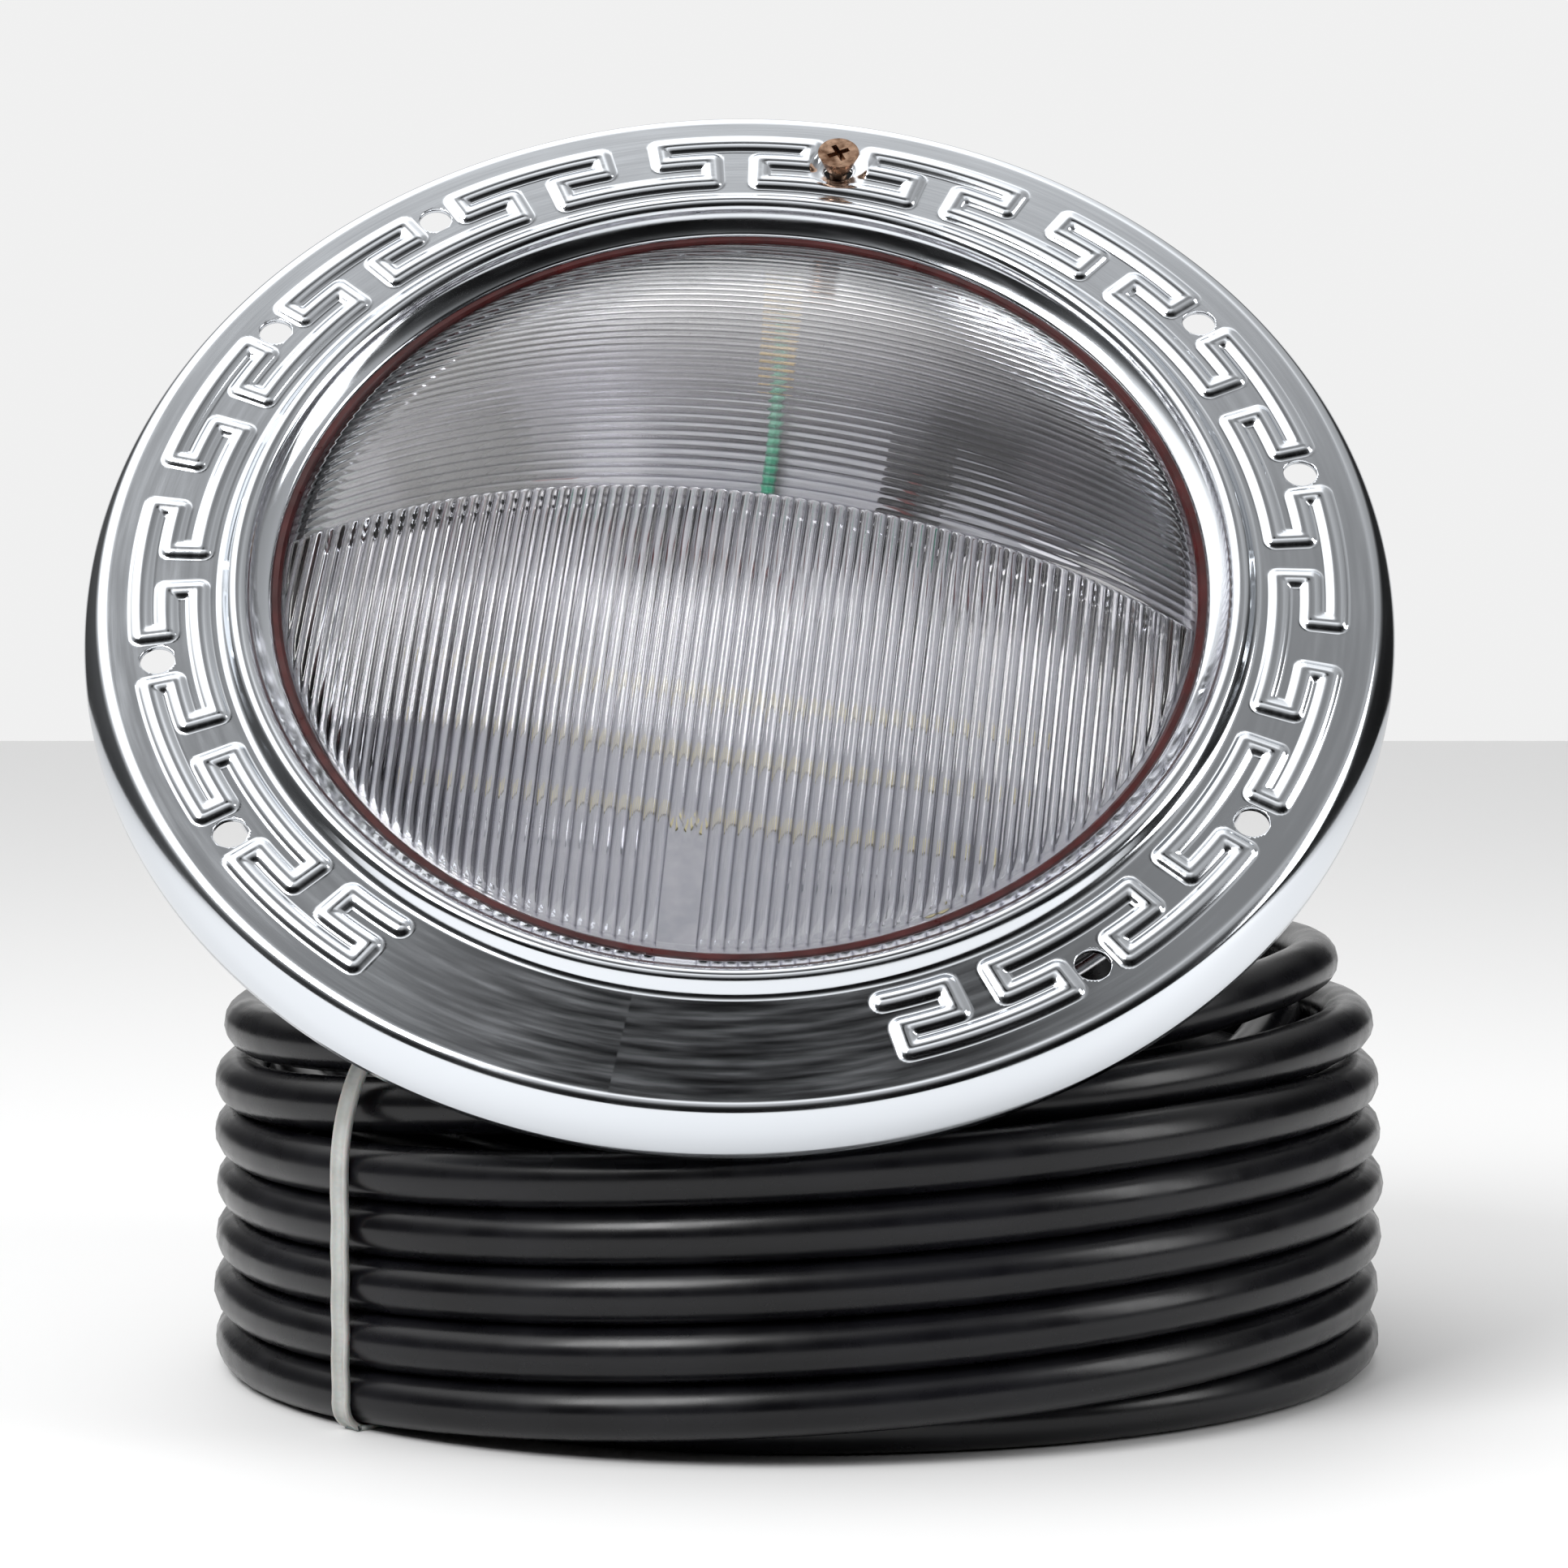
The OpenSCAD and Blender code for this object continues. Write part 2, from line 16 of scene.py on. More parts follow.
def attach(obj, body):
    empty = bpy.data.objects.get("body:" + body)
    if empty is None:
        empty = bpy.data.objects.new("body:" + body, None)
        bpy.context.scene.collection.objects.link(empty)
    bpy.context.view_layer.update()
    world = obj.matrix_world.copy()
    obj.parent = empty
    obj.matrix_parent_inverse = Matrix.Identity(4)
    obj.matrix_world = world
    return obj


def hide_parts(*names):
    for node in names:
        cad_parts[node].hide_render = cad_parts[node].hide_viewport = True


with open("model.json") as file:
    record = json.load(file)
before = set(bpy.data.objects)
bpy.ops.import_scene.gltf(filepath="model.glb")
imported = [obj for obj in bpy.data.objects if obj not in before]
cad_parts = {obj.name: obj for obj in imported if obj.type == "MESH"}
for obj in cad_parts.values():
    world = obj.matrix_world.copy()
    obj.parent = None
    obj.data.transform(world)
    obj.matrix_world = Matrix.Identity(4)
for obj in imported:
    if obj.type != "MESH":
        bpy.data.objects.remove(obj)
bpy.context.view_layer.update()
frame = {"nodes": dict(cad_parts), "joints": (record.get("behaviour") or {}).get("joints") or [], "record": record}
MM = 0.001
nodes = frame["nodes"]
joints = {j["name"]: j for j in frame["joints"]}


# ---------------------------------------------------------------- places

def head_matrix():
    """The head's frame, from the lens's axis and the pilot screw's place."""
    centre = Vector(joints["lens_turn"]["pos_m"])
    out = Vector(joints["lens_turn"]["axis"]).normalized()
    up = (Vector(joints["screw_spin"]["pos_m"]) - centre).normalized()
    across = up.cross(out)
    turn = Matrix((across, up, out)).transposed().to_4x4()
    return Matrix.Translation(centre) @ turn


HEAD = head_matrix()
SCREW_R = (Vector(joints["screw_spin"]["pos_m"]) - HEAD.translation).length / MM


def on_head(points):
    """Head millimetres to row-frame metres."""
    turn = np.array(HEAD.to_3x3())
    return np.asarray(points, float) * MM @ turn.T + np.array(HEAD.translation)


def clock(angle, radius, height=0.0):
    """A point at a clock angle in degrees on the head."""
    a = math.radians(angle)
    return (radius * math.sin(a), radius * math.cos(a), height)


def smooth(t):
    """Smooth step from 0 to 1."""
    t = np.clip(t, 0.0, 1.0)
    return t * t * (3 - 2 * t)


# ---------------------------------------------------------------- camera

CAMERA_AT = Vector((-3.0, -824.9, 158.7)) * MM
CAMERA_PITCH = 2.53
LENS_MM = 87.6
SENSOR_MM = 36.0


def make_camera():
    data = bpy.data.cameras.new("camera")
    data.lens = LENS_MM
    data.sensor_width = SENSOR_MM
    camera = bpy.data.objects.new("camera", data)
    camera.location = CAMERA_AT
    camera.rotation_euler = (math.radians(90 - CAMERA_PITCH), 0, 0)
    bpy.context.scene.collection.objects.link(camera)
    bpy.context.scene.camera = camera


make_camera()


# ---------------------------------------------------------------- material helpers

def colour_ramp(tree, value, stops):
    """The colour of a ramp over `value`, from (place, colour) stops."""
    made = tree.nodes.new("ShaderNodeValToRGB")
    elements = made.color_ramp.elements
    while len(elements) < len(stops):
        elements.new(0.5)
    for element, (place, colour) in zip(elements, stops):
        element.position = place
        element.color = (*colour, 1)
    tree.links.new(value, made.inputs["Fac"])
    return made.outputs["Color"]


class Look:
    """A Principled material and the few node chains that the materials below share.

    Noise scales are features per metre, or per millimetre where `uv` is true.
    Bump heights are millimetres.
    """

    def __init__(self, name, colour, roughness, metallic=0.0, specular=0.5):
        self.material = bpy.data.materials.new(name)
        self.material.use_nodes = True
        self.tree = self.material.node_tree
        self.shader = self.tree.nodes["Principled BSDF"]
        self.shader.inputs["Base Color"].default_value = (*colour, 1)
        self.shader.inputs["Roughness"].default_value = roughness
        self.shader.inputs["Metallic"].default_value = metallic
        self.shader.inputs["Specular IOR Level"].default_value = specular
        self.bump_end = None

    def node(self, kind):
        return self.tree.nodes.new(kind)

    def link(self, a, b):
        self.tree.links.new(a, b)

    def coordinates(self, stretch=(1, 1, 1), uv=False):
        source = self.node("ShaderNodeTexCoord")
        mapping = self.node("ShaderNodeMapping")
        mapping.inputs["Scale"].default_value = stretch
        self.link(source.outputs["UV" if uv else "Object"], mapping.inputs["Vector"])
        return mapping.outputs["Vector"]

    def noise(self, scale, detail=4, stretch=(1, 1, 1), uv=False):
        made = self.node("ShaderNodeTexNoise")
        made.inputs["Scale"].default_value = scale
        made.inputs["Detail"].default_value = detail
        self.link(self.coordinates(stretch, uv), made.inputs["Vector"])
        return made.outputs["Fac"]

    def tint(self, value, stops):
        self.link(colour_ramp(self.tree, value, stops), self.shader.inputs["Base Color"])

    def colours(self, low, high, scale, **noise):
        self.tint(self.noise(scale, **noise), [(0.35, low), (0.65, high)])

    def roughness(self, low, high, scale, **noise):
        ranged = self.node("ShaderNodeMapRange")
        ranged.inputs["From Min"].default_value = 0.3
        ranged.inputs["From Max"].default_value = 0.7
        ranged.inputs["To Min"].default_value = low
        ranged.inputs["To Max"].default_value = high
        self.link(self.noise(scale, **noise), ranged.inputs["Value"])
        self.link(ranged.outputs["Result"], self.shader.inputs["Roughness"])

    def bump(self, height_mm, scale, strength=1.0, **noise):
        made = self.node("ShaderNodeBump")
        made.inputs["Strength"].default_value = strength
        made.inputs["Distance"].default_value = height_mm * MM
        self.link(self.noise(scale, **noise), made.inputs["Height"])
        if self.bump_end:
            self.link(self.bump_end, made.inputs["Normal"])
        self.bump_end = made.outputs["Normal"]
        self.link(self.bump_end, self.shader.inputs["Normal"])


# ---------------------------------------------------------------- materials

def polished_steel():
    look = Look("polished_steel", (0.72, 0.75, 0.79), 0.1, metallic=1.0)
    look.roughness(0.07, 0.17, 2.2, detail=3, stretch=(0.02, 0.25, 1), uv=True)
    look.bump(0.02, 1.6, 0.25, detail=5, stretch=(0.02, 1.0, 1), uv=True)
    look.bump(0.25, 14, 0.12, detail=1)
    return look.material


def satin_steel(name, colour=(0.62, 0.63, 0.65)):
    look = Look(name, colour, 0.3, metallic=1.0)
    look.roughness(0.22, 0.38, 60, detail=4, stretch=(1, 1, 6))
    look.bump(0.03, 900, 0.1, detail=4, stretch=(1, 1, 0.05))
    look.bump(0.3, 14, 0.06, detail=1)
    return look.material


def bronze():
    look = Look("bronze", (0.4, 0.24, 0.15), 0.28, metallic=1.0)
    look.colours((0.16, 0.085, 0.05), (0.55, 0.36, 0.25), 420, detail=5)
    look.roughness(0.18, 0.4, 700)
    look.bump(0.05, 900, 0.4)
    return look.material


def brass(name="lug_brass", colour=(0.76, 0.55, 0.22)):
    look = Look(name, colour, 0.25, metallic=1.0)
    look.roughness(0.18, 0.4, 300)
    look.bump(0.03, 700, 0.3)
    return look.material


def nickel():
    look = Look("gland_metal", (0.66, 0.64, 0.58), 0.25, metallic=1.0)
    look.roughness(0.18, 0.36, 250)
    look.bump(0.04, 500, 0.3)
    return look.material


def rubber(name, low, high, roughness=0.5):
    look = Look(name, low, roughness, specular=0.4)
    look.colours(low, high, 160, detail=5)
    look.roughness(roughness - 0.08, roughness + 0.1, 240)
    look.bump(0.05, 1400, 0.25, detail=5)
    return look.material


def cord_jacket():
    look = Look("cord_jacket", (0.005, 0.005, 0.006), 0.3, specular=0.35)
    look.colours((0.002, 0.002, 0.003), (0.006, 0.006, 0.008), 45, detail=6)
    look.roughness(0.22, 0.34, 90, detail=6)
    look.bump(0.12, 60, 0.25, detail=2)
    look.bump(0.03, 1300, 0.2, detail=4)
    return look.material


def plastic(name, low, high, roughness, scale=220):
    look = Look(name, low, roughness)
    look.colours(low, high, scale, detail=4)
    look.roughness(roughness - 0.05, roughness + 0.08, 300)
    look.bump(0.03, 900, 0.2)
    return look.material


def tie_nylon():
    look = Look("tie_nylon", (0.5, 0.51, 0.49), 0.35)
    look.shader.inputs["Subsurface Weight"].default_value = 0.25
    look.shader.inputs["Subsurface Scale"].default_value = 1.5 * MM
    look.colours((0.42, 0.43, 0.41), (0.54, 0.55, 0.53), 120)
    look.bump(0.04, 700, 0.25)
    return look.material


def phosphor():
    look = Look("led_phosphor", (0.5, 0.45, 0.25), 0.4)
    look.colours((0.42, 0.37, 0.18), (0.55, 0.5, 0.3), 500)
    look.bump(0.04, 900, 0.3)
    return look.material


def mirror_sheet():
    look = Look("reflector_metal", (0.33, 0.33, 0.35), 0.16, metallic=1.0)
    look.roughness(0.1, 0.24, 40, detail=3)
    look.bump(0.6, 18, 0.3, detail=2)
    return look.material


def clear_glass():
    """Glass that lets lamps through to what is behind it, with painted shade: its colour is darker in the valleys
    of its pattern.
    """
    look = Look("lens_glass", (1, 0.99, 1), 0.03)
    look.shader.inputs["Transmission Weight"].default_value = 1.0
    look.shader.inputs["IOR"].default_value = 1.5
    look.shader.inputs["Coat Weight"].default_value = 0.2
    look.shader.inputs["Coat IOR"].default_value = 1.75
    look.shader.inputs["Coat Roughness"].default_value = 0.05
    look.bump(0.04, 420, 0.08, detail=2)
    painted_shade_mask = look.node("ShaderNodeSeparateXYZ")
    look.link(look.coordinates(uv=True), painted_shade_mask.inputs["Vector"])
    # painted shade: the glass colour goes nearly black in the pattern's valleys and stays clear on the crests
    look.tint(painted_shade_mask.outputs["X"], [
        (0.0, (0.08, 0.08, 0.1)), (0.35, (0.55, 0.54, 0.6)),
        (0.7, (0.98, 0.97, 1)), (1.0, (1, 0.99, 1)),
    ])
    clear = look.node("ShaderNodeBsdfTransparent")
    clear.inputs["Color"].default_value = (0.6, 0.61, 0.64, 1)
    path = look.node("ShaderNodeLightPath")
    mix = look.node("ShaderNodeMixShader")
    output = look.tree.nodes["Material Output"]
    look.link(path.outputs["Is Shadow Ray"], mix.inputs["Fac"])
    look.link(look.shader.outputs["BSDF"], mix.inputs[1])
    look.link(clear.outputs["BSDF"], mix.inputs[2])
    look.link(mix.outputs["Shader"], output.inputs["Surface"])
    return look.material


def floor_paint():
    look = Look("floor_paint", (0.86, 0.86, 0.86), 0.6, specular=0.2)
    look.bump(0.05, 40, 0.1)
    return look.material


MATERIALS = {
    "polished_steel": polished_steel(),
    "housing_steel": satin_steel("housing_steel", (0.68, 0.69, 0.71)),
    "clamp_steel": satin_steel("clamp_steel", (0.7, 0.71, 0.73)),
    "bracket_steel": satin_steel("bracket_steel", (0.6, 0.61, 0.62)),
    "bronze": bronze(),
    "washer_rubber": rubber("washer_rubber", (0.012, 0.012, 0.012), (0.03, 0.03, 0.03)),
    "gasket_silicone": rubber("gasket_silicone", (0.034, 0.003, 0.003), (0.06, 0.005, 0.005), 0.35),
    "lens_glass": clear_glass(),
    "reflector_metal": mirror_sheet(),
    # painted shade: the board is white, and its colour is painted grey for the light it loses behind the ribbed
    # lens
    "board_white": plastic("board_white", (0.3, 0.31, 0.32), (0.38, 0.38, 0.39), 0.4),
    "led_phosphor": phosphor(),
    "sink_metal": satin_steel("sink_metal", (0.5, 0.51, 0.53)),
    "black_plastic": plastic("black_plastic", (0.008, 0.008, 0.009), (0.02, 0.02, 0.022), 0.4),
    "board_green": plastic("board_green", (0.01, 0.1, 0.04), (0.02, 0.16, 0.07), 0.35, 500),
    "copper_winding": brass("copper_winding", (0.6, 0.27, 0.12)),
    "can_blue": plastic("can_blue", (0.02, 0.03, 0.12), (0.03, 0.05, 0.18), 0.3),
    "white_plastic": plastic("white_plastic", (0.8, 0.8, 0.79), (0.9, 0.9, 0.89), 0.3),
    "lug_brass": brass(),
    "wire_green": plastic("wire_green", (0.01, 0.2, 0.1), (0.02, 0.3, 0.16), 0.35),
    "wire_black": plastic("wire_black", (0.01, 0.01, 0.01), (0.02, 0.02, 0.02), 0.35),
    "wire_red": plastic("wire_red", (0.08, 0.01, 0.01), (0.12, 0.02, 0.02), 0.35),
    "gland_metal": nickel(),
    "cord_jacket": cord_jacket(),
    "tie_nylon": tie_nylon(),
}


# ---------------------------------------------------------------- mesh helpers

def add_object(data, name):
    made = bpy.data.objects.new(name, data)
    bpy.context.scene.collection.objects.link(made)
    return made


def make_mesh(name, points, faces, uv=None, wrap=0.0):
    """A smooth mesh from row-frame metres, with its normals turned outwards; u repeats after `wrap`."""
    data = bpy.data.meshes.new(name)
    data.from_pydata([tuple(p) for p in points], [], faces)
    work = bmesh.new()
    work.from_mesh(data)
    bmesh.ops.recalc_face_normals(work, faces=work.faces)
    if uv is not None:
        layer = work.loops.layers.uv.new("surface")
        for face in work.faces:
            first = uv[face.loops[0].vert.index][0]
            for loop in face.loops:
                u, v = uv[loop.vert.index]
                loop[layer].uv = (u + wrap * round((first - u) / wrap) if wrap else u, v)
    loose = [v for v in work.verts if not v.link_faces]
    bmesh.ops.delete(work, geom=loose, context="VERTS")
    work.to_mesh(data)
    work.free()
    data.polygons.foreach_set("use_smooth", [True] * len(data.polygons))
    return add_object(data, name)


def finish_piece(piece, body, slot, *replaced):
    piece.data.materials.append(MATERIALS[slot])
    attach(piece, body)
    if replaced:
        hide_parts(*replaced)
    return piece


def arc(cx, cy, r, start, end, steps):
    """Points of an arc in a section, angles in degrees."""
    angles = np.radians(np.linspace(start, end, steps + 1))
    return [(cx + r * math.cos(a), cy + r * math.sin(a)) for a in angles]


# ---------------------------------------------------------------- cord

CORD_D = 11.0
LEAD_ROUTE = [
    (0.034, 0.0501, 0.0345), (0.033, 0.059, 0.027), (0.029, 0.0675, 0.0205),
    (0.022, 0.0755, 0.0145), (0.012, 0.0818, 0.0095), (0.0, 0.0856, 0.0068),
    (-0.014, 0.0864, 0.0058), (-0.03, 0.0835, 0.0057), (-0.046, 0.0785, 0.0057),
    (-0.06, 0.071, 0.0057),
]
LEAD_TUCK_IN = 8
LEAD_END_R = 93.0
LEAD_END_Z = 5.7
LAYER_R = [97.7, 108.7, 119.7]
FLOOR_Z = CORD_D / 2
TURN_STEP = 5.0
COIL_START = 135.0
COIL_END = 6580.0


def coil_moves():
    """Where the winding changes radius or height: (from degrees, to degrees, radius, height)."""

    def steps(turns, start, end, rise):
        return [(360 * turn + start, 360 * turn + end, 0, rise) for turn in turns]

    moves = [(135, 185, LAYER_R[0] - LEAD_END_R, FLOOR_Z - LEAD_END_Z)]
    # inner layer, upwards
    moves += steps(range(5), 200, 335, CORD_D)
    # over its top turn and into the middle layer, downwards
    moves += [(2115, 2165, 5.3, 14.5), (2180, 2310, LAYER_R[1] - LAYER_R[0] - 5.3, -14.5)]
    moves.append((2350, 2415, 0, -CORD_D))
    moves += steps(range(7, 11), 20, 160, -CORD_D)
    # outer layer, upwards, and the loose turns on top of it
    moves.append((3870, 3950, LAYER_R[2] - LAYER_R[1], 0))
    moves += steps(range(11, 16), 200, 335, CORD_D)
    moves += [(5955, 6020, -10.5, 5.5), (6045, 6110, 8.8, 6.5)]
    moves += [(6315, 6382, -17.4, 2.9), (6405, 6470, 9.6, 10.1)]
    return moves


def coil_point(angle):
    """(radius, height) of the winding at an angle that keeps counting from turn to turn."""
    radius, height = LEAD_END_R, LEAD_END_Z
    for start, end, out, rise in COIL_MOVES:
        share = float(smooth((angle - start) / (end - start)))
        radius += out * share
        height += rise * share
    wander = sum(size * math.sin(math.radians(angle * rate)) for size, rate in COIL_WANDER)
    return radius + wander, height


COIL_MOVES = coil_moves()
COIL_WANDER = [(0.35, 0.731), (0.25, 2.17)]


def coil_points():
    points = []
    angle = COIL_START
    while angle <= COIL_END:
        radius, height = coil_point(angle)
        a = math.radians(angle)
        points.append(Vector((radius * math.cos(a), radius * math.sin(a), height)) * MM)
        angle += TURN_STEP
    return points


def smooth_route(points, step=0.006):
    """Points along a Catmull-Rom curve through the given ones."""
    ends = [points[0] * 2 - points[1], *points, points[-1] * 2 - points[-2]]
    made = []
    for a, b, c, d in zip(ends, ends[1:], ends[2:], ends[3:]):
        count = max(2, round((c - b).length / step))
        for i in range(count):
            t = i / count
            made.append(0.5 * (2 * b + (c - a) * t + (2 * a - 5 * b + 4 * c - d) * t * t
                               + (3 * b - a - 3 * c + d) * t ** 3))
    return made + [points[-1]]


def tube_curve(name, points, diameter, sides=6):
    data = bpy.data.curves.new(name, "CURVE")
    data.dimensions = "3D"
    data.bevel_depth = diameter / 2
    data.bevel_resolution = sides
    data.use_fill_caps = True
    spline = data.splines.new("POLY")
    spline.points.add(len(points) - 1)
    for point, place in zip(spline.points, points):
        point.co = (*place, 1)
    spline.use_smooth = True
    return add_object(data, name)


def make_cord():
    """The cord as one curve, from inside the strain relief to its cut end."""
    exit_at = Vector(LEAD_ROUTE[0])
    inward = HEAD.to_3x3() @ Vector((0, 0, 1))
    lead = smooth_route([exit_at + inward * LEAD_TUCK_IN * MM, *[Vector(p) for p in LEAD_ROUTE]])
    points = lead + coil_points()
    cord = tube_curve("supply_cord", points, CORD_D * MM)
    finish_piece(cord, "root", "cord_jacket", "cord_lead", "cord_coil")
    return cord, points


def strap_outline():
    """The cable tie's loop round the turns, as (radius, height) at its own azimuth."""
    outer = LAYER_R[2] + CORD_D / 2 + TIE_GAP
    inner = LAYER_R[0] - CORD_D / 2 - TIE_GAP
    crest = [
        (outer + 0.1 * math.sin(z / CORD_D * 2 * math.pi), z)
        for z in np.arange(6.0, 50.0, CORD_D / 4)
    ]
    top = [
        (outer - 0.2, 55.0), (outer - 1.8, 63.0), (outer - 5.0, 70.5),
        (outer - 10, 76.5), (outer - 16, 79.6),
    ]
    over = [(inner + 12, 78.5), (inner + 4.5, 72.0), (inner + 0.8, 64.0)]
    inside = [(inner, z) for z in (50.0, 35.0, 20.0, 8.0)]
    r, z = TIE_CORNER_R, TIE_CORNER_Z
    under = arc(inner + r, z, r, 180, 270, 4) + arc(outer - r, z, r, 270, 360, 4)
    return crest + top + over + inside + under


TIE_AZIMUTH = 225.0
TIE_W = 4.3
TIE_T = 1.2
TIE_FLOOR = 0.62
TIE_RIB = 0.16
TIE_RIB_EVERY = 3
TIE_STEP = 0.45
TIE_GAP = 0.9
TIE_CORNER_R = 5
TIE_CORNER_Z = 5.4
TIE_LOWEST = 0.05


def make_cable_tie():
    """Strap with raised edges and fine cross ribs on its outer face."""
    a = math.radians(TIE_AZIMUTH)
    outward = np.array((math.cos(a), math.sin(a), 0))
    along_w = np.array((-math.sin(a), math.cos(a), 0))
    route = [Vector((r, z, 0)) for r, z in strap_outline()]
    route.append(route[0])
    dense = smooth_route(route, step=TIE_STEP)
    points, faces = [], []
    section = [
        (-0.5, 0.0), (-0.5, 1.0), (-0.36, 1.0), (-0.3, TIE_FLOOR),
        (0.3, TIE_FLOOR), (0.36, 1.0), (0.5, 1.0), (0.5, 0.0),
    ]
    count = len(dense) - 1
    size = len(section)
    for i in range(count):
        here, ahead = dense[i], dense[(i + 1) % count]
        step = (ahead - here).normalized()
        normal = Vector((step.y, -step.x))
        rib = TIE_RIB if i % TIE_RIB_EVERY == 0 else 0.0
        for across, up in section:
            lift = TIE_T * (up - 0.5) + (rib if up == TIE_FLOOR else 0)
            r, z = here.x + normal.x * lift, max(TIE_LOWEST, here.y + normal.y * lift)
            points.append((outward * r + along_w * across * TIE_W + np.array((0, 0, z))) * MM)
        for k in range(size):
            k2 = (k + 1) % size
            n = (i + 1) % count
            faces.append((i * size + k, n * size + k, n * size + k2, i * size + k2))
    tie = make_mesh("tie_strap", points, faces)
    return finish_piece(tie, "root", "tie_nylon", "cable_tie")


LEADS = [("green", "wire_green", 5.5), ("black", "wire_black", 1.2), ("white", "white_plastic", -3.0)]
LEAD_D = 2.8
LEAD_TUCK = 6
LEAD_POINTS = 7
LEAD_STEP = 4.2
LEAD_DROP = 5.4
CORE_D = 1.7
CORE_LENGTH = 9


def make_lead_ends(cord_points):
    """Three stripped conductors that fan out of the cord's cut end."""
    tip = cord_points[-1]
    step = (cord_points[-1] - cord_points[-2]).normalized()
    radial = Vector((tip.x, tip.y, 0)).normalized()
    tip_angle = math.atan2(tip.y, tip.x)
    tip_radius = Vector((tip.x, tip.y, 0)).length
    made = []
    for name, slot, spread in LEADS:
        route = [tip - step * LEAD_TUCK * MM + radial * spread * 0.35 * MM]
        for i in range(1, LEAD_POINTS + 1):
            share = min(1, i / 3)
            angle = tip_angle + math.radians(LEAD_STEP * i)
            radius = tip_radius + (spread + 3) * MM * share
            drop = LEAD_DROP * MM * float(smooth(share))
            route.append(Vector((radius * math.cos(angle), radius * math.sin(angle), tip.z - drop)))
        lead = tube_curve("end_lead_" + name, smooth_route(route, 0.003), LEAD_D * MM, 4)
        finish_piece(lead, "root", slot, "cord_end_leads")
        last = route[-1] - route[-2]
        core = [route[-1] - last * 0.2, route[-1] + last.normalized() * CORE_LENGTH * MM]
        bare = tube_curve("end_core_" + name, core, CORE_D * MM, 4)
        finish_piece(bare, "root", "copper_winding")
        made += [lead, bare]
    return made


supply_cord, cord_points = make_cord()
tie_strap = make_cable_tie()
lead_ends = make_lead_ends(cord_points)


# ---------------------------------------------------------------- face ring

RING_R = 133.5
RIM_R = 3.5
RIM_INSET = 6.0
RIM_BEND = 42
SKIRT_H = 11.0
SHEET = 1.2
BEAD_X, BEAD_Z, BEAD_R = 101.4, 0.3, 2.5
FACE_R = 104.5
HOLE_R = 3.5
HOLE_RING_R = 118.2
SCREW_HOLE_R = 3.2
HOLE_ANGLES = [45, 67.5, 112.5, 135, 225, 247.5, 292.5, 315]
RING_STEPS = 1440
RIDGE_R = (109.2, 115.6, 120.8)
RIDGE_HALF_W = 2.45
RIDGE_H = 0.92
GAP_PITCH = 22.5
GAP_HALF = 3.15
BAR_HALF = 8.6
LAST_BAR = 148.5
LAST_LEG = 154
DIMPLE_R = 3.4
DIMPLE_H = 0.7
FLAT_R = 4


def ring_section():
    """(radius, height) from the ring's inner lip over its bead and face to the skirt's edge."""
    lip = [(94.7, -2.2), (95.6, -1.85), (96.5, -1.3), (97.4, -0.7), (98.3, 0.1)]
    bead = arc(BEAD_X, BEAD_Z, BEAD_R, 168, 62, 12)
    run_out = [(103.3, 1.75), (103.9, 1.0), (FACE_R, 0.4), (105.1, 0.1)]
    face = [(r, 0.0) for r in np.arange(105.5, RING_R - RIM_INSET - 0.2, 0.4)]
    rim = arc(RING_R - RIM_INSET, -RIM_R, RIM_R, 90, RIM_BEND, 8)
    skirt = [
        (131.1, -2.5), (132.0, -4.1), (132.7, -5.9),
        (133.2, -7.8), (RING_R, -9.6), (RING_R, -SKIRT_H),
    ]
    return lip + bead + run_out + face + rim + skirt


def arc_distance(angle, radius, at_r, start, end):
    """Millimetres from points to a bar that follows the ring."""
    beyond = np.maximum(np.maximum(start - angle, angle - end), 0)
    return np.hypot(np.radians(beyond) * at_r, radius - at_r)


def leg_distance(angle, radius, at_angle, inner, outer):
    """Millimetres from points to a bar that runs towards the ring's centre."""
    beyond = np.maximum(np.maximum(inner - radius, radius - outer), 0)
    return np.hypot(np.radians(angle - at_angle) * radius, beyond)


def key_pattern(angle, radius):
    """Distance to the embossed key pattern, which is the same on both sides of the screw."""
    inner, middle, outer = RIDGE_R
    a = np.abs(angle)
    found = np.full(a.shape, 1e3)

    def add(distance):
        np.minimum(found, distance, out=found)

    for step in range(7):
        gap = GAP_PITCH * step
        if step < 6:
            add(arc_distance(a, radius, outer, gap + GAP_HALF, gap + GAP_PITCH - GAP_HALF))
        add(arc_distance(a, radius, inner, gap - BAR_HALF, gap + BAR_HALF))
        for side in (-1, 1):
            add(leg_distance(a, radius, gap + side * GAP_HALF, middle, outer))
            add(leg_distance(a, radius, gap + side * BAR_HALF, inner, middle))
            ends = sorted((gap + side * GAP_HALF, gap + side * BAR_HALF))
            add(arc_distance(a, radius, middle, *ends))
    last = GAP_PITCH * 6
    add(arc_distance(a, radius, outer, last + GAP_HALF, LAST_LEG))
    add(leg_distance(a, radius, LAST_LEG, middle, outer))
    add(arc_distance(a, radius, middle, LAST_BAR, LAST_LEG))
    add(leg_distance(a, radius, LAST_BAR, inner, middle))
    add(arc_distance(a, radius, inner, LAST_BAR, LAST_LEG + 1))
    return found


def face_height(angle, radius):
    """Height of the ridges and of the dimple round the pilot screw."""
    share = np.clip(1 - key_pattern(angle, radius) / RIDGE_HALF_W, 0, 1)
    ridge = RIDGE_H * (1 - (1 - share) ** 2) * smooth(share * 3)
    from_screw = np.hypot(np.radians(angle) * radius, radius - SCREW_R)
    dimple = -DIMPLE_H * (1 - smooth((from_screw - DIMPLE_R) / DIMPLE_R))
    return ridge * smooth((from_screw - FLAT_R) / 2.5) + dimple


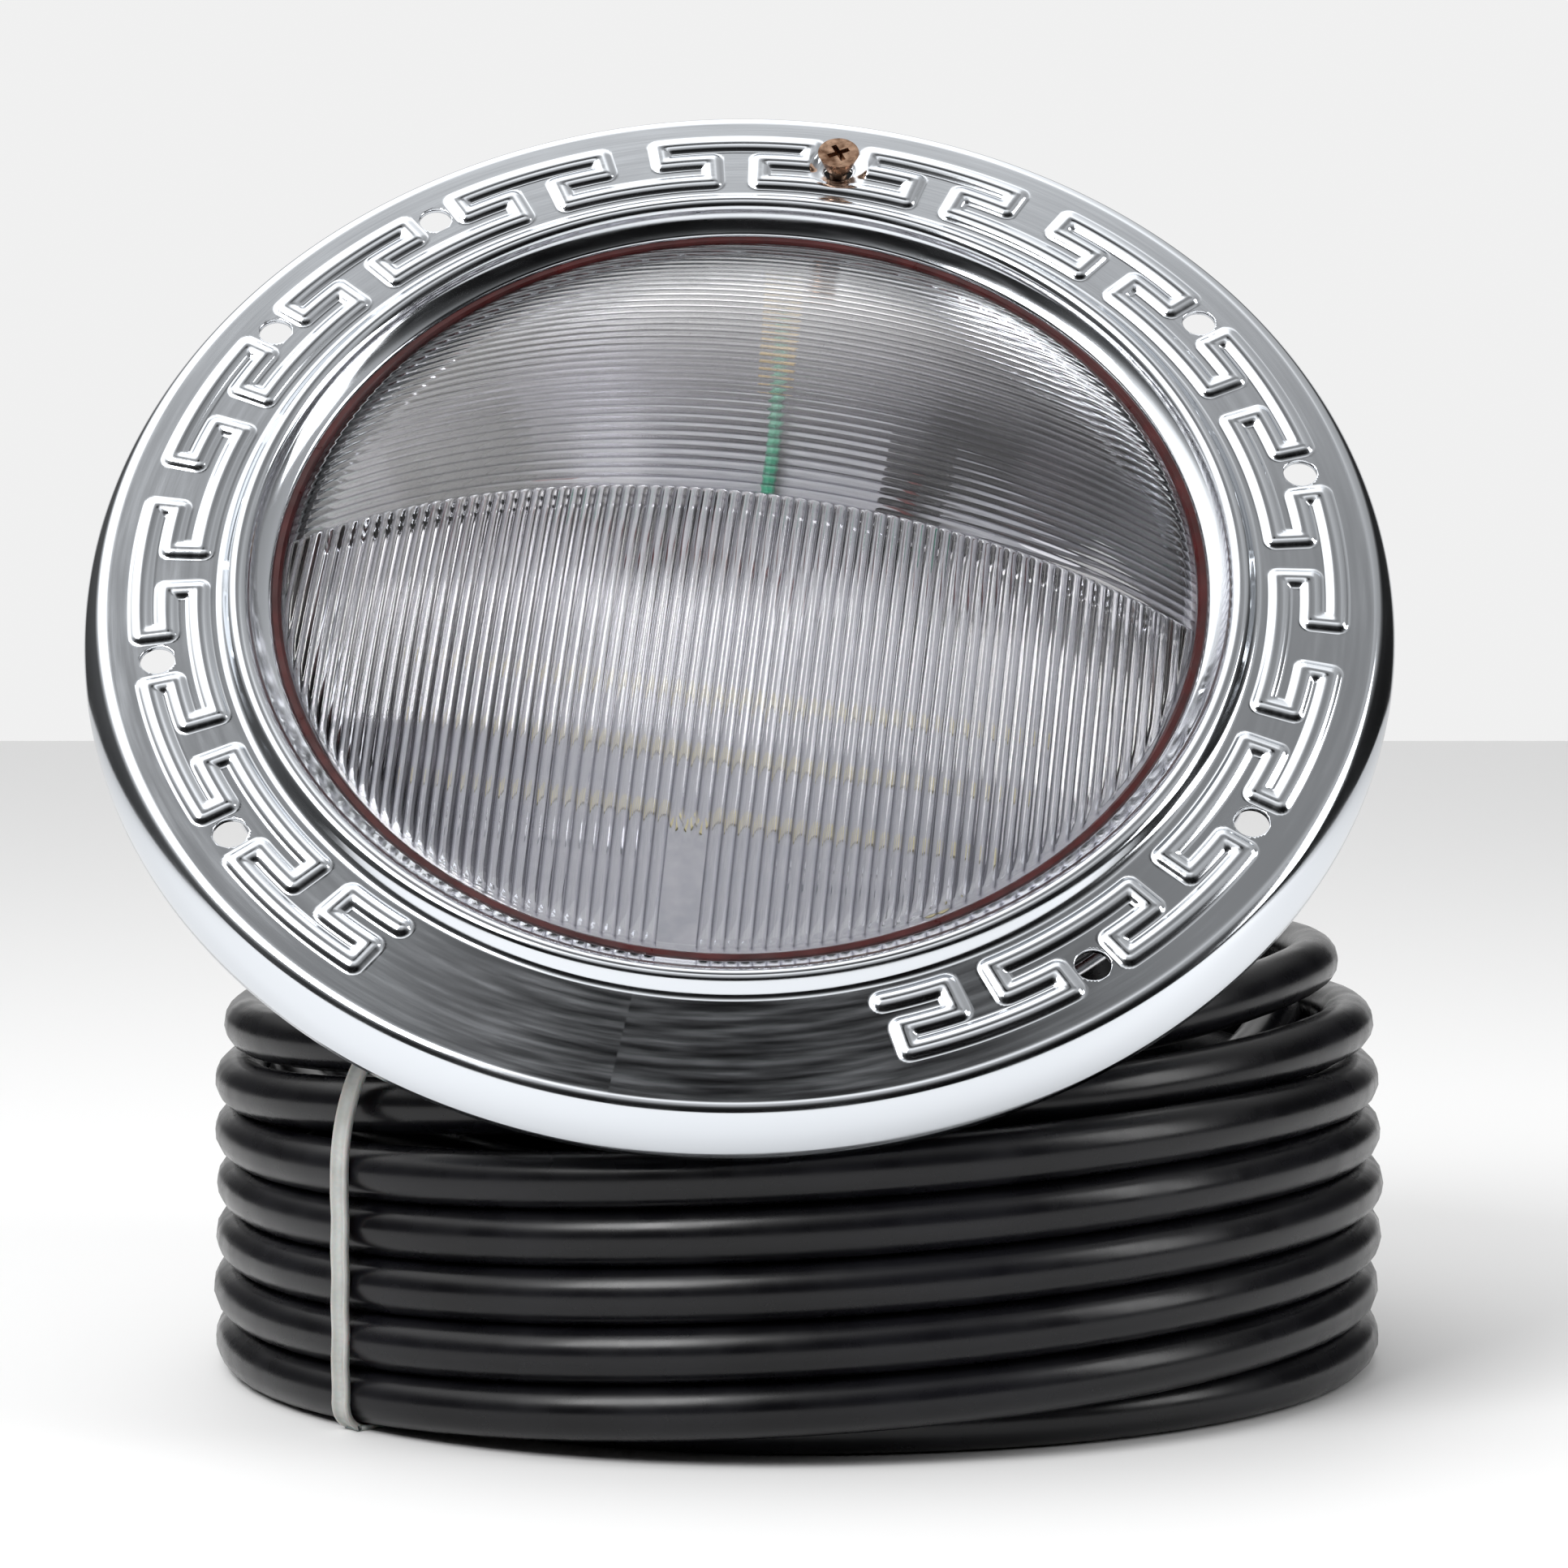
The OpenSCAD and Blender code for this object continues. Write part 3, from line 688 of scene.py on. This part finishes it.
def make_face_ring():
    """One pressed sheet: the section swept round, with the ridges raised and the holes left open."""
    section = np.array(ring_section())
    angles = np.linspace(-180, 180, RING_STEPS, endpoint=False)
    angle, radius = np.meshgrid(angles, section[:, 0], indexing="ij")
    height = np.tile(section[:, 1], (RING_STEPS, 1))
    on_face = (radius > FACE_R) & (radius < RING_R - RIM_INSET + 0.6)
    height = height + np.where(on_face, face_height(angle, radius), 0)
    x = radius * np.sin(np.radians(angle))
    y = radius * np.cos(np.radians(angle))
    inside = np.zeros(angle.shape, bool)
    holes = [(a, HOLE_RING_R, HOLE_R) for a in HOLE_ANGLES] + [(0, SCREW_R, SCREW_HOLE_R)]
    for hole, at_r, hole_r in holes:
        cx, cy, _ = clock(hole, at_r)
        gap = np.hypot(x - cx, y - cy)
        here = gap < hole_r
        grow = hole_r / np.maximum(gap, 1e-6)
        x = np.where(here, cx + (x - cx) * grow, x)
        y = np.where(here, cy + (y - cy) * grow, y)
        inside |= here
    rows = len(section)
    faces = []
    for i in range(RING_STEPS):
        n = (i + 1) % RING_STEPS
        for k in range(rows - 1):
            if inside[i, k] and inside[n, k] and inside[i, k + 1] and inside[n, k + 1]:
                continue
            faces.append((i * rows + k, i * rows + k + 1, n * rows + k + 1, n * rows + k))
    points = on_head(np.stack([x, y, height], -1).reshape(-1, 3))
    uv = np.stack([np.radians(angle) * HOLE_RING_R, radius], -1).reshape(-1, 2)
    ring = make_mesh("pressed_ring", points, faces, uv, 2 * math.pi * HOLE_RING_R)
    outward = HEAD.to_3x3() @ Vector((0, 0, 1))
    if sum(p.normal.dot(outward) for p in ring.data.polygons[:2000]) < 0:
        ring.data.flip_normals()
    shell = ring.modifiers.new("sheet", "SOLIDIFY")
    shell.thickness = SHEET * MM
    shell.offset = -1
    return finish_piece(ring, "root", "polished_steel", "face_ring")


make_face_ring()


# ---------------------------------------------------------------- lens

WINDOW_R = 92.5
DOME_H = 30.0
DOME_BASE = -2.0
GLASS_T = 5.0
TIP_R = 1.6
LENS_R = 105.7
LENS_FRONT = -4.3
LENS_BACK = -10.3
LENS_EDGE = 0.6
DOME_R = (WINDOW_R ** 2 + DOME_H ** 2) / (2 * DOME_H)
DOME_C = DOME_BASE + DOME_H - DOME_R
PATTERN_TURN = 3.4
CHORD_Y = -4.5
HALF_CHORD = math.sqrt(WINDOW_R ** 2 - CHORD_Y ** 2)
STEPS_EACH = 8
FLUTES = 71
FLUTE_PITCH = 2 * HALF_CHORD / FLUTES
FLUTE_H = 0.95
FLUTE_END = 1.4
RIB_PITCH = 2.5
RIB_H = 0.11
PLAIN_HALF_W = 3.7
PLAIN_H = 19


def dome_z(x, y, r=DOME_R):
    return DOME_C + np.sqrt(np.maximum(r * r - x * x - y * y, 0))


def fade_out(x, y):
    """1 over the window and 0 at its edge, so that ribs end in rounded tips."""
    return smooth((WINDOW_R - np.hypot(x, y)) / TIP_R)


def in_window(x, y):
    """The small plain window at the bottom of the lens."""
    return (np.abs(x) < PLAIN_HALF_W) & (y < -WINDOW_R + PLAIN_H)


def rib_share(y):
    """0 in the valleys between ribs and 1 on their crests."""
    return np.abs(np.sin(np.pi * (y - CHORD_Y) / RIB_PITCH))


def flute_share(x):
    """0 in the sharp valleys between flutes and 1 on their rounded crests."""
    return np.abs(np.cos(np.pi * x / FLUTE_PITCH))


def upper_ribs(x, y):
    return RIB_H * rib_share(y) * fade_out(x, y)


def lower_flutes(x, y):
    """Flutes with domed ends, and none in the small window at the bottom."""
    end = np.clip((CHORD_Y - y) / FLUTE_END, 0, 1)
    cap = np.sqrt(1 - (1 - end) ** 2)
    return FLUTE_H * flute_share(x) * cap * fade_out(x, y) * np.where(in_window(x, y), 0, 1)


def pattern_fullness(x, y):
    """0 in the valleys of the pattern, and 1 on its crests and on plain glass; the glass colour reads it as
    painted shade in the valleys.
    """
    return np.where(in_window(x, y), 1, np.where(y < CHORD_Y, flute_share(x), rib_share(y)))


def make_lens():
    """Ribbed outer face, its rim and the smooth inner dome, as one closed surface."""
    xs = np.linspace(-HALF_CHORD, HALF_CHORD, FLUTES * STEPS_EACH + 1)
    points, faces = [], []

    def add(x, y, z):
        points.append((x, y, z))
        return len(points) - 1

    # lower zone: one column of points per step across, closer together at the chord and the rim
    drop = np.concatenate([np.linspace(0, 2.0, 6), [3.5, 6]])
    low = []
    for x in xs:
        depth = math.sqrt(max(WINDOW_R ** 2 - x * x, CHORD_Y ** 2)) + CHORD_Y
        share = np.concatenate([drop, np.linspace(8, 84, 22), 88.5 - drop[5:0:-1]])
        share = np.clip((share - share[0]) / (share[-1] - share[0]), 0, 1)
        ys = CHORD_Y - share * depth
        zs = dome_z(x, ys) + lower_flutes(np.full(len(ys), x), ys)
        low.append([add(x, y, z) for y, z in zip(ys, zs)])
    for a, b in zip(low, low[1:]):
        for i in range(len(a) - 1):
            faces.append((a[i], a[i + 1], b[i + 1], b[i]))

    # upper zone: one row of points per step up, from the chord to the rim
    row_step = RIB_PITCH / STEPS_EACH
    up = []
    for j in range(1, int((WINDOW_R - CHORD_Y - 0.05) / row_step) + 1):
        y = CHORD_Y + row_step * j
        reach = math.sqrt(WINDOW_R ** 2 - y * y)
        row_x = np.linspace(-reach, reach, FLUTES + 1)
        row_y = np.full(FLUTES + 1, y)
        row_z = dome_z(row_x, row_y) + upper_ribs(row_x, row_y)
        up.append([add(x, y, z) for x, z in zip(row_x, row_z)])
    for i in range(FLUTES):
        cell = [low[k][0] for k in range(i * STEPS_EACH, (i + 1) * STEPS_EACH + 1)]
        faces.append((*cell, up[0][i + 1], up[0][i]))
    for a, b in zip(up, up[1:]):
        for i in range(FLUTES):
            faces.append((a[i], a[i + 1], b[i + 1], b[i]))
    top = add(0, WINDOW_R, float(dome_z(0, WINDOW_R)))
    outside = len(points)
    for i in range(FLUTES):
        faces.append((up[-1][i], up[-1][i + 1], top))

    # rim and back, as rings that follow the window's edge
    edge = [column[-1] for column in low]
    edge += [row[-1] for row in up] + [top] + [row[0] for row in reversed(up)]
    turns = [math.atan2(points[i][1], points[i][0]) for i in edge]
    inner_r = DOME_R - GLASS_T
    back_start = math.sqrt(inner_r ** 2 - (LENS_BACK - DOME_C) ** 2)
    section = [
        (WINDOW_R + 0.3, LENS_FRONT + 0.4), (WINDOW_R + 1.0, LENS_FRONT),
        (LENS_R - LENS_EDGE, LENS_FRONT), (LENS_R, LENS_FRONT - LENS_EDGE),
        (LENS_R, LENS_BACK + LENS_EDGE), (LENS_R - LENS_EDGE, LENS_BACK), (back_start, LENS_BACK),
    ]
    section += [(r, float(dome_z(r, 0, inner_r))) for r in np.linspace(back_start - 4, 6, 12)]
    previous = edge
    for radius, height in section:
        ring = [add(radius * math.cos(t), radius * math.sin(t), height) for t in turns]
        count = len(ring)
        for i in range(count):
            faces.append((previous[i], previous[(i + 1) % count], ring[(i + 1) % count], ring[i]))
        previous = ring
    middle = add(0, 0, DOME_C + inner_r)
    for i in range(len(previous)):
        faces.append((previous[i], previous[(i + 1) % len(previous)], middle))

    turn = math.radians(PATTERN_TURN)
    flat = np.array(points)
    painted_shade_mask = np.where(np.arange(len(flat)) < outside, pattern_fullness(flat[:, 0], flat[:, 1]), 1)
    turned = flat.copy()
    turned[:, 0] = flat[:, 0] * math.cos(turn) - flat[:, 1] * math.sin(turn)
    turned[:, 1] = flat[:, 0] * math.sin(turn) + flat[:, 1] * math.cos(turn)
    # u carries the mask of painted shade that the glass colour reads
    uv = np.stack([painted_shade_mask, np.zeros(len(flat))], -1)
    lens = make_mesh("ribbed_lens", on_head(turned), faces, uv)
    return finish_piece(lens, "lens", "lens_glass", "lens")


make_lens()


# ---------------------------------------------------------------- carried-over nodes

def dress_nodes():
    """Every CAD node that stays gets its slot's material."""
    slots = {s["node"]: s["material_slot"] for s in frame["record"]["subparts"]}
    for name, piece in nodes.items():
        if piece.hide_render:
            continue
        piece.data.materials.clear()
        piece.data.materials.append(MATERIALS[slots[name]])


dress_nodes()


# ---------------------------------------------------------------- floor, lights and world

def make_floor():
    data = bpy.data.meshes.new("floor")
    half = 4.0
    corners = [(-half, -half, 0), (half, -half, 0), (half, half, 0), (-half, half, 0)]
    data.from_pydata(corners, [], [(0, 1, 2, 3)])
    data.materials.append(floor_paint())
    floor = add_object(data, "floor")


def make_light(name, place, target, size, watts):
    data = bpy.data.lights.new(name, "AREA")
    data.shape = "RECTANGLE"
    data.size, data.size_y = size
    data.energy = watts
    lamp = add_object(data, name)
    lamp.location = place
    aim = Vector(target) - Vector(place)
    lamp.rotation_euler = aim.to_track_quat("-Z", "Y").to_euler()


class Sky:
    """The few node kinds that the studio's dome is built from."""

    def __init__(self):
        world = bpy.data.worlds.new("studio")
        bpy.context.scene.world = world
        world.use_nodes = True
        self.tree = world.node_tree
        self.background = self.tree.nodes["Background"]
        self.direction = self.tree.nodes.new("ShaderNodeTexCoord").outputs["Generated"]
        split = self.tree.nodes.new("ShaderNodeSeparateXYZ")
        self.tree.links.new(self.direction, split.inputs["Vector"])
        self.x, self.y, self.z = split.outputs

    def vector(self, operation, value, other=None):
        made = self.tree.nodes.new("ShaderNodeVectorMath")
        made.operation = operation
        self.tree.links.new(value, made.inputs[0])
        if other is not None:
            made.inputs[1].default_value = other
        return made

    def distance(self, centre, stretch):
        """Stretched distance of the direction from a place on the dome."""
        offset = self.vector("SUBTRACT", self.direction, centre)
        scaled = self.vector("MULTIPLY", offset.outputs["Vector"], stretch)
        return self.vector("LENGTH", scaled.outputs["Vector"]).outputs["Value"]

    def ramp(self, value, stops):
        """A ramp of grey levels over `value`."""
        return colour_ramp(self.tree, value, [(place, (level,) * 3) for place, level in stops])

    def combine(self, operation, a, b):
        made = self.tree.nodes.new("ShaderNodeMath")
        made.operation = operation
        self.tree.links.new(a, made.inputs[0])
        self.tree.links.new(b, made.inputs[1])
        return made.outputs["Value"]


def make_world():
    """A light tent: white round a greyer top with a small dark opening, dark low down, bright behind."""
    sky = Sky()
    top = sky.ramp(sky.distance((0, -0.27, 0), (0.6, 1, 0)),
                   [(0, 0.12), (0.07, 0.17), (0.12, 0.21), (0.16, 0.31), (0.2, 0.45), (0.28, 1.0)])
    opening = sky.ramp(sky.distance((-0.01, -0.34, 0), (1, 1, 0)), [(0.06, 0.03), (0.12, 1.0)])
    left = sky.ramp(sky.distance((-1, 0, 0), (1, 0, 0)), [(0.75, 1.0), (0.82, 0.0)])
    front = sky.ramp(sky.distance((0, -1, 0), (0, 1, 0)), [(0.15, 0.12), (0.35, 0.4), (0.5, 1.0)])
    low = sky.ramp(sky.z, [(0.0, 0.03), (0.35, 0.06), (0.5, 0.3), (0.62, 1.0)])
    right = sky.ramp(sky.x, [(0.1, 1.0), (0.35, 0.35), (0.8, 0.2)])
    behind = sky.ramp(sky.y, [(0.88, 0.0), (0.94, 0.53)])
    tent = sky.combine("MULTIPLY", sky.combine("MAXIMUM", top, left), opening)
    sides = sky.combine("MULTIPLY", front, right)
    level = sky.combine("MULTIPLY", sky.combine("MULTIPLY", tent, low), sides)
    sky.tree.links.new(sky.combine("MAXIMUM", level, behind), sky.background.inputs["Color"])
    sky.background.inputs["Strength"].default_value = 1.65


make_floor()
make_light("key", place=(-0.9, -1.1, 1.5), target=(0, 0, 0.12), size=(0.8, 0.8), watts=24)
make_light("side", place=(1.3, -0.5, 0.8), target=(0, 0, 0.1), size=(0.5, 1.0), watts=8)
make_world()
bpy.context.scene.view_settings.view_transform = "Standard"
